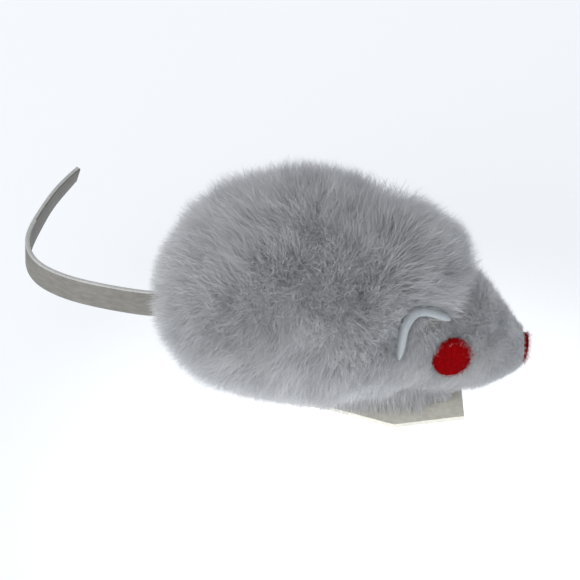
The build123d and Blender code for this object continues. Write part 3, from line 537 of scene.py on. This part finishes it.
def long_share(points):
    """1 on the body, 0 on the face: the long pile reaches further forward over the head."""
    height = np.clip((points[:, 2] - HOOD_FROM_Z) / HOOD_RISE, 0, 1)
    edge = FACE_EDGE_X + HOOD_REACH * height**2 * (3 - 2 * height)
    return np.clip((edge + BLEND_AHEAD - points[:, 0]) / BLEND_WIDTH, 0, 1)


def drift(points, scale):
    """A slow, smooth wander of direction over the body, from a few crossed waves."""
    x, y, z = points.T / scale
    return np.stack([
        np.sin(1.3 * y + 0.7 * z + 1.0) + np.sin(2.1 * z - 1.1 * x),
        np.sin(1.1 * x + 1.7 * z + 2.0) + np.sin(1.9 * x - 0.6 * y),
        np.sin(1.5 * x - 0.9 * y + 4.0) + np.sin(2.3 * y + 0.8 * x),
    ], axis=1) / 2


def clear_of_ears(points, hairs):
    """The share of each hair's length that stays below the ears' rims, near them."""
    share = np.ones((len(points), 1))
    for sign in (1, -1):
        centre = np.array((EAR_CENTRE.x, -sign * EAR_CENTRE.y, EAR_CENTRE.z))
        axis = np.array((EAR_AXIS.x, -sign * EAR_AXIS.y, EAR_AXIS.z))
        tips = points + hairs - centre
        tip_height = tips @ axis
        aside = np.linalg.norm(tips - tip_height[:, None] * axis, axis=1)
        limit = -0.9 + 1.3 * np.maximum(0, aside - EAR_REACH)
        root_height = (points - centre) @ axis
        rise = np.maximum(tip_height - root_height, 0.01)
        allowed = np.clip((limit - root_height) / rise, 0.18, 1)
        near = (tip_height > limit) & (aside < 2 * EAR_REACH)
        share[near, 0] = np.minimum(share[near, 0], allowed[near])
    return share


def grow(points, normals, random):
    """Tips and bows for hair on the hide, and its share of long pile."""
    share = long_share(points)[:, None]
    count = len(points)
    x, up = points[:, :1], normals[:, 2:3]
    belly = np.clip(-up, 0, 1)
    crown = np.clip((up - 0.35) / 0.4, 0, 1)
    rump = np.clip((-26 - x) / 8, 0, 1)
    forward = np.clip((x - 6) / 10, 0, 1) * crown * share

    comb = share * np.array([[-0.30, 0.0, -0.06]]) + (1 - share) * np.array([[-0.85, 0.0, -0.15]])
    comb = comb + forward * np.array([[1.9, 0.0, 0.10]]) + belly * share * np.array([[0.0, 0.0, -0.10]])
    wander = drift(points, 7.0) * 0.40 * share + drift(points, 2.6) * 0.38
    upright = normals * (0.95 * share + 0.85 * (1 - share))
    direction = unit(upright + comb + wander + random.randn(count, 3) * 0.32)

    uneven = 0.62 + 0.46 * random.rand(count, 1)
    length = BODY_PILE * share + FACE_PILE * (1 - share)
    length = length * uneven * (1 - 0.40 * belly * share) * (1 - 0.25 * rump)
    length = length * (1 - 0.55 * np.clip((x - 30) / 8, 0, 1)) * (1 + 0.35 * forward)
    tufts = drift(points, 1.7)[:, :1] * drift(points, 4.1)[:, 1:2]
    length = length * (1 + 0.20 * share * tufts)
    length = length + BROW_PILE * crown * np.exp(-(((x - BROW_X) / BROW_SPREAD) ** 2))
    length = length * clear_of_ears(points, direction * length)
    tips = points + direction * length
    sag = random.randn(count, 3) * 0.12 * length - np.array([[0, 0, 0.05]]) * length
    return tips, sag, share


def lock_share(points, share):
    """How far tips are drawn into their locks: less on the rump and along the back."""
    forward = np.clip((points[:, :1] + 16) / 12, 0, 1)
    below_back = np.clip((36 - points[:, 2:]) / 8, 0, 1)
    return share * (0.35 + 0.65 * forward * below_back)


def guard_places(points, share, random):
    """True where a pale guard hair stands, on the shoulders and flanks."""
    low, high = GUARD_HEIGHTS
    flank = np.abs(points[:, 0] - GUARD_X) < GUARD_REACH
    flank &= (points[:, 2] > low) & (points[:, 2] < high) & (share[:, 0] > 0.6)
    return flank & (random.rand(len(points)) < GUARD_CHANCE * (1 + drift(points, 2.2)[:, 2]))


def denser_ahead(places):
    return 1.0 + 1.6 * (places[..., 0] > 12)


def evenly(places):
    return np.ones(places.shape[:-1])


random = np.random.RandomState(SEED)
roots, normals = scatter(hide_grid, BODY_HAIRS, denser_ahead, random)
kept = bare_places(roots)
roots, normals = roots[kept], normals[kept]
tips, sag, share = grow(roots, normals, random)
locks = gather(roots, tips, *LARGE_LOCKS, random)
locks = gather(roots, locks, *SMALL_LOCKS, random)
tips = tips + (locks - tips) * lock_share(roots, share)
tips[:, 2] = np.maximum(tips[:, 2], LOWEST_TIP)
hair_width = np.where(share[:, 0] > 0.5, LONG_HAIR_WIDTH, SHORT_HAIR_WIDTH)
hair_width = hair_width * (0.7 + 0.6 * random.rand(len(roots)))
pile("fur_pile", roots, tips, sag, hair_width, fur_look, "chassis", random)

# Pale guard hairs stand a little above the pile
guard = guard_places(roots, share, random)
guard_roots, guard_sag = roots[guard], sag[guard]
guard_tips = guard_roots + (tips[guard] - guard_roots) * 1.05 + random.randn(len(guard_roots), 3) * 0.5
guard_width = np.full(len(guard_roots), GUARD_HAIR_WIDTH)
pile(
    "fur_guard_hairs", guard_roots, guard_tips, guard_sag, guard_width,
    guard_look, "chassis", random,
)

roots, normals = scatter(skirt_grid, SKIRT_HAIRS, evenly, random)
facing = np.sign(np.sum(normals[:, :2] * (roots[:, :2] - np.array(SKIRT_MIDDLE)), axis=1))
outward = unit(normals * facing[:, None])
direction = unit(outward + np.array([[0, 0, -0.55]]) + random.randn(len(roots), 3) * 0.25)
shorter_ahead = np.where(roots[:, :1] > 17, 0.45, 1.0)
length = SKIRT_PILE * (0.6 + 0.5 * random.rand(len(roots), 1)) * shorter_ahead
tips = roots + direction * length
tips[:, 2] = np.maximum(tips[:, 2], LOWEST_SKIRT_TIP)
sag = random.randn(len(roots), 3) * 0.04 * length
skirt_width = np.full(len(roots), SKIRT_HAIR_WIDTH)
pile("fur_skirt_pile", roots, tips, sag, skirt_width, fur_look, "chassis", random)


# ------------------------------------------------------------------ felt
def disc_points(centre, side, up, normal, radius, thick, dome, uneven):
    """A domed, uneven disc's points: the top, rings out and under the edge, then the bottom."""
    wobble = 1 + 0.02 * uneven.randn(FELT_SPOKES)
    profile = [(r / FELT_RINGS, thick / 2) for r in range(1, FELT_RINGS)]
    profile += [(1.0, thick * 0.25), (1.0, -thick * 0.25), (0.95, -thick / 2)]
    points = [centre + normal * (thick / 2 + dome)]
    for share, height in profile:
        for spoke in range(FELT_SPOKES):
            angle = 2 * math.pi * spoke / FELT_SPOKES
            reach = radius * share * (1 + (wobble[spoke] - 1) * share)
            lift = height + dome * (1 - share**2) + 0.03 * uneven.randn() * (share < 0.95)
            place = centre + side * reach * math.cos(angle) + up * reach * math.sin(angle)
            points.append(place + normal * lift)
    points.append(centre - normal * thick / 2)
    return points, len(profile)


def felt_disc(name, centre, normal, radius, thick, dome):
    """A punched felt disc with a soft edge, as one closed mesh."""
    normal = normal.normalized()
    side = normal.orthogonal().normalized()
    up = normal.cross(side)
    uneven = np.random.RandomState(SEED + len(name))
    points, rings = disc_points(centre, side, up, normal, radius, thick, dome, uneven)
    faces = [(0, 1 + s, 1 + (s + 1) % FELT_SPOKES) for s in range(FELT_SPOKES)]
    for ring in range(rings - 1):
        for s in range(FELT_SPOKES):
            a, b = 1 + ring * FELT_SPOKES + s, 1 + ring * FELT_SPOKES + (s + 1) % FELT_SPOKES
            faces.append((a, a + FELT_SPOKES, b + FELT_SPOKES, b))
    last = 1 + (rings - 1) * FELT_SPOKES
    faces += [(last + s, len(points) - 1, last + (s + 1) % FELT_SPOKES) for s in range(FELT_SPOKES)]
    disc = make_piece(name, points, faces, felt_look)
    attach(disc, "chassis")
    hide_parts(name.replace("_felt", ""))


def felt_hairs(name, centre, normal, radius, count, reach):
    """Loose wool fibres on a disc's face and round its edge."""
    normal = normal.normalized()
    side = normal.orthogonal().normalized()
    up = normal.cross(side)
    random = np.random.RandomState(SEED + 3 * len(name))
    share = np.sqrt(random.rand(count)) ** 0.5
    angle = random.rand(count) * 2 * math.pi
    spread = np.cos(angle)[:, None] * np.array(side) + np.sin(angle)[:, None] * np.array(up)
    roots = np.array(centre) + spread * (radius * share)[:, None] + np.array(normal) * FUZZ_BASE * 0.45
    lean = unit(spread * share[:, None] ** 3 * 1.2 + np.array(normal) * 0.5 + random.randn(count, 3) * 0.7)
    length = reach * (0.3 + 0.9 * random.rand(count, 1) ** 2)
    sag = random.randn(count, 3) * 0.16 * length
    width = np.full(count, FELT_HAIR_WIDTH)
    pile(name, roots, roots + lean * length, sag, width, felt_hair_look, "chassis", random)


for label, sign in (("left", 1), ("right", -1)):
    centre = Vector((EYE_CENTRE.x, sign * EYE_CENTRE.y, EYE_CENTRE.z))
    normal = Vector((EYE_NORMAL.x, sign * EYE_NORMAL.y, EYE_NORMAL.z))
    felt_disc(f"{label}_eye_felt", centre, normal, EYE_RADIUS, EYE_THICK, EYE_DOME)
    felt_hairs(f"{label}_eye_fuzz", centre, normal, EYE_RADIUS, 1500, 0.8)
felt_disc("nose_felt", NOSE_CENTRE, NOSE_NORMAL, NOSE_RADIUS, NOSE_THICK, NOSE_DOME)
felt_hairs("nose_fuzz", NOSE_CENTRE, NOSE_NORMAL, NOSE_RADIUS, 500, 1.4)

# A few dark stray hairs on the hood, in front of the right ear
stray_random = np.random.RandomState(SEED + 5)
stray_roots = np.array([(21.9, -9.9, 30.6), (22.3, -9.8, 30.7), (22.7, -9.7, 30.8), (23.0, -9.6, 30.8)])
stray_tips = stray_roots + np.array([(1.3, -0.2, 0.4), (1.1, -0.3, 0.5), (1.0, -0.2, 0.4), (0.8, -0.3, 0.3)])
stray_width = np.full(len(stray_roots), STRAY_HAIR_WIDTH)
pile(
    "stray_hairs", stray_roots, stray_tips, np.zeros_like(stray_roots), stray_width,
    dark_hair_look, "chassis", stray_random,
)


# ------------------------------------------------------------------ ears
# Faces between points from here on in ear_section's list have the inside's look: the ear's darker suede
# lining, with painted shade for the hollow under the rim
EAR_LINING_PAINTED_SHADE_FROM = 7


def ear_section(half, reach):
    """The rim's section, as (outward, along the axis): up from the pile, round, into the hollow."""
    return [
        (-2.4, -5.5), (0.6 * half, -3.0), (half, -1.0), (half, 0.0),
        (0.7 * half, 0.7 * half), (0.0, half), (-0.7 * half, 0.7 * half), (-half, 0.0),
        (-(half + 0.3), -1.6), (-0.45 * reach, -0.9 * EAR_DEPTH), (-0.95 * reach, -EAR_DEPTH),
    ]


def ear(label, sign):
    """A leather cup, open towards the eye, its thick rim rolled over a hollow."""
    across = (Vector((1, 0, 0)) - EAR_AXIS * EAR_AXIS.x).normalized()
    frame_axes = np.array((across, EAR_AXIS.cross(across), EAR_AXIS))
    rim = smooth_table(np.array(EAR_RIM), 44)
    hollow = np.array((*EAR_HOLLOW, 0.0))
    points = []
    for forward, rise, half in rim:
        edge = np.array((forward, rise, 0.0))
        reach = np.linalg.norm(edge - hollow)
        outward = (edge - hollow) / reach
        section = ear_section(half, reach)
        for out, lift in section:
            local = edge + outward * out + np.array((0.0, 0.0, lift))
            point = np.array(EAR_CENTRE) + local @ frame_axes
            points.append((point[0], -sign * point[1], point[2]))
    faces = grid_faces(len(rim), len(section), False)
    if sign > 0:
        faces = [tuple(reversed(face)) for face in faces]
    flap = make_piece(f"{label}_ear_leather", points, faces, ear_look)
    # Faces in the hollow take the lining colour, which has painted shade in it
    flap.data.materials.append(ear_lining_and_painted_shade_look)
    for face in flap.data.polygons:
        if min(vertex % len(section) for vertex in face.vertices) >= EAR_LINING_PAINTED_SHADE_FROM:
            face.material_index = 1
    soft = flap.modifiers.new("soft_edges", "SUBSURF")
    soft.levels = 1
    soft.render_levels = 1
    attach(flap, "chassis")
    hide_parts(f"{label}_ear")


ear("left", 1)
ear("right", -1)


# ------------------------------------------------------------------ tail
TAIL_EASE = 0.22


def tail_section():
    """The strap's section with eased corners, as (across, up)."""
    section = []
    for across, up in ((1, 1), (-1, 1), (-1, -1), (1, -1)):
        corner = (across * TAIL_THICK / 2, up * TAIL_WIDTH / 2)
        first = (corner[0], corner[1] - up * TAIL_EASE)
        second = (corner[0] - across * TAIL_EASE, corner[1])
        section += [first, second] if across * up > 0 else [second, first]
    return section


def tail_strap():
    """A flat strap on edge that leans out and is cut slanting at its end."""
    path = smooth_table(np.array(TAIL_PATH), 110)
    run = np.concatenate([[0], np.cumsum(np.linalg.norm(np.diff(path, axis=0), axis=1))])
    section = tail_section()
    points = []
    for index, place in enumerate(path):
        along = path[min(index + 1, len(path) - 1)] - path[max(index - 1, 0)]
        along = along / np.linalg.norm(along)
        out = np.array((along[1], -along[0]))
        share = run[index] / run[-1]
        lean = math.radians(TAIL_LEAN) * max(0.0, (share - 0.45) / 0.55) ** 1.4
        ripple = 0.16 * math.sin(share * 23) * share
        slant = max(0.0, (share - 0.97) / 0.03)
        for across, up in section:
            cut = -up / (TAIL_WIDTH / 2) * slant
            side = across * math.cos(lean) - up * math.sin(lean) + ripple
            height = across * math.sin(lean) + up * math.cos(lean)
            plan = place - out * side + along * cut
            points.append((plan[0], plan[1], TAIL_MIDDLE + height))
    size = len(section)
    faces = grid_faces(len(path), size, True)
    faces.append(tuple(range(size)))
    faces.append(tuple(reversed(range((len(path) - 1) * size, len(path) * size))))
    strap = make_piece("tail_strap", points, faces, tail_look, smooth=False)
    strap.data.materials.append(tail_edge_look)
    for face in strap.data.polygons:
        face.use_smooth = True
        if abs(face.normal.z) > 0.6:
            face.material_index = 1
    bevel = strap.modifiers.new("eased", "BEVEL")
    bevel.width = 0.08 * MM
    bevel.segments = 2
    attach(strap, "chassis")
    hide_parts("tail")


tail_strap()


# ------------------------------------------------------------------ click spring
def spring_strip(path):
    """Four points round the leaf at each place on its path."""
    near, far = CLICK_SPRING_Y
    points = []
    for index, (x, z) in enumerate(path):
        along = path[min(index + 1, len(path) - 1)] - path[max(index - 1, 0)]
        across = np.array((-along[1], along[0])) / np.linalg.norm(along) * CLICK_SPRING_THICK / 2
        for side, y in ((1, near), (1, far), (-1, far), (-1, near)):
            points.append((x + side * across[0], y, z + side * across[1]))
    return points


def click_spring_leaf():
    """The click's leaf spring on its post, as one rigid piece; the real leaf gives way upwards as the click
    lifts.
    """
    path = smooth_table(np.array(CLICK_SPRING_PATH), 14)
    points = spring_strip(path)
    faces = grid_faces(len(path), 4, True)
    faces += [(0, 1, 2, 3), tuple(reversed(range(len(points) - 4, len(points))))]
    post_x, post_z = CLICK_SPRING_PATH[0]
    spokes = 20
    first = len(points)
    for y in CLICK_SPRING_Y:
        for spoke in range(spokes):
            angle = 2 * math.pi * spoke / spokes
            round_x, round_z = CLICK_SPRING_POST * math.cos(angle), CLICK_SPRING_POST * math.sin(angle)
            points.append((post_x + round_x, y, post_z + round_z))
    for spoke in range(spokes):
        here, following = first + spoke, first + (spoke + 1) % spokes
        faces.append((here, following, following + spokes, here + spokes))
    faces += [tuple(reversed(range(first, first + spokes))), tuple(range(first + spokes, first + 2 * spokes))]
    leaf = make_piece("click_spring_leaf", points, faces, blued_look, smooth=False)
    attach(leaf, "great_wheel")
    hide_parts("click_spring")
    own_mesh(leaf)


click_spring_leaf()


# ------------------------------------------------------------------ floor, light, camera
# Lengths in this section are in metres, except the camera's
FLOOR_SIZE = 6.0
FLOOR_COLOUR = (0.34, 0.345, 0.35, 1)
GLOW_COLOUR = (0.93, 0.96, 1.0, 1)
GLOW_CENTRE = (0.010, -0.030, 0.0)
GLOW_REACH = 0.092
GLOW_NEAR = 1.15
GLOW_FAR = 0.68
WORLD_COLOUR = (0.90, 0.94, 1.0, 1)
WORLD_STRENGTH = 0.50


def floor_material():
    """A pale floor that glows most under the mouse and less with distance from it."""
    material, tree, shader = new_material("pale_floor", 0.9)
    shader.inputs["Base Color"].default_value = FLOOR_COLOUR
    shader.inputs["Emission Color"].default_value = GLOW_COLOUR
    place = tree.nodes.new("ShaderNodeTexCoord")
    shift = tree.nodes.new("ShaderNodeVectorMath")
    shift.operation = "SUBTRACT"
    shift.inputs[1].default_value = GLOW_CENTRE
    far = tree.nodes.new("ShaderNodeVectorMath")
    far.operation = "LENGTH"
    glow = tree.nodes.new("ShaderNodeMapRange")
    glow.interpolation_type = "SMOOTHSTEP"
    glow.inputs["From Min"].default_value = 0.0
    glow.inputs["From Max"].default_value = GLOW_REACH
    glow.inputs["To Min"].default_value = GLOW_NEAR
    glow.inputs["To Max"].default_value = GLOW_FAR
    tree.links.new(place.outputs["Object"], shift.inputs[0])
    tree.links.new(shift.outputs["Vector"], far.inputs[0])
    tree.links.new(far.outputs["Value"], glow.inputs["Value"])
    tree.links.new(glow.outputs["Result"], shader.inputs["Emission Strength"])
    return material


reach = FLOOR_SIZE / 2
floor_corners = [(-reach, -reach, 0), (reach, -reach, 0), (reach, reach, 0), (-reach, reach, 0)]
floor_mesh = bpy.data.meshes.new("floor")
floor_mesh.from_pydata(floor_corners, [], [(0, 1, 2, 3)])
floor = bpy.data.objects.new("floor", floor_mesh)
bpy.context.scene.collection.objects.link(floor)
floor_mesh.materials.append(floor_material())

world = bpy.data.worlds.new("studio")
bpy.context.scene.world = world
world.use_nodes = True
world_shader = world.node_tree.nodes["Background"]
world_shader.inputs["Color"].default_value = WORLD_COLOUR
world_shader.inputs["Strength"].default_value = WORLD_STRENGTH


def area_light(name, place, aim, size, power):
    light = bpy.data.lights.new(name, "AREA")
    light.size = size
    light.energy = power
    lamp = bpy.data.objects.new(name, light)
    lamp.location = place
    lamp.rotation_euler = (Vector(aim) - Vector(place)).to_track_quat("-Z", "Y").to_euler()
    bpy.context.scene.collection.objects.link(lamp)


area_light("soft_front", (0.15, -0.55, 0.45), (0, 0, 0.02), 0.5, 0.7)
area_light("low_front", (-0.24, -0.33, 0.11), (-0.01, 0, 0.02), 0.35, 1.35)
area_light("soft_back", (-0.2, 0.6, 0.5), (0, 0, 0.02), 0.6, 1.6)

CAMERA_DISTANCE = 430
CAMERA_ELEVATION = 40
VIEW_WIDTH = 118.4
AIM = Vector((-10.0, 0.0, 27.2))
elevation = math.radians(CAMERA_ELEVATION)
camera_data = bpy.data.cameras.new("camera")
camera_data.sensor_width = 36
camera_data.lens = 36 * CAMERA_DISTANCE / VIEW_WIDTH
camera_data.clip_start = 0.01
camera_data.clip_end = 20
camera = bpy.data.objects.new("camera", camera_data)
back = Vector((0, -math.cos(elevation), math.sin(elevation)))
camera.location = (AIM + back * CAMERA_DISTANCE) * MM
camera.rotation_mode = "QUATERNION"
camera.rotation_quaternion = (-back).to_track_quat("-Z", "Y")
bpy.context.scene.collection.objects.link(camera)
bpy.context.scene.camera = camera
bpy.context.scene.view_settings.view_transform = "Standard"
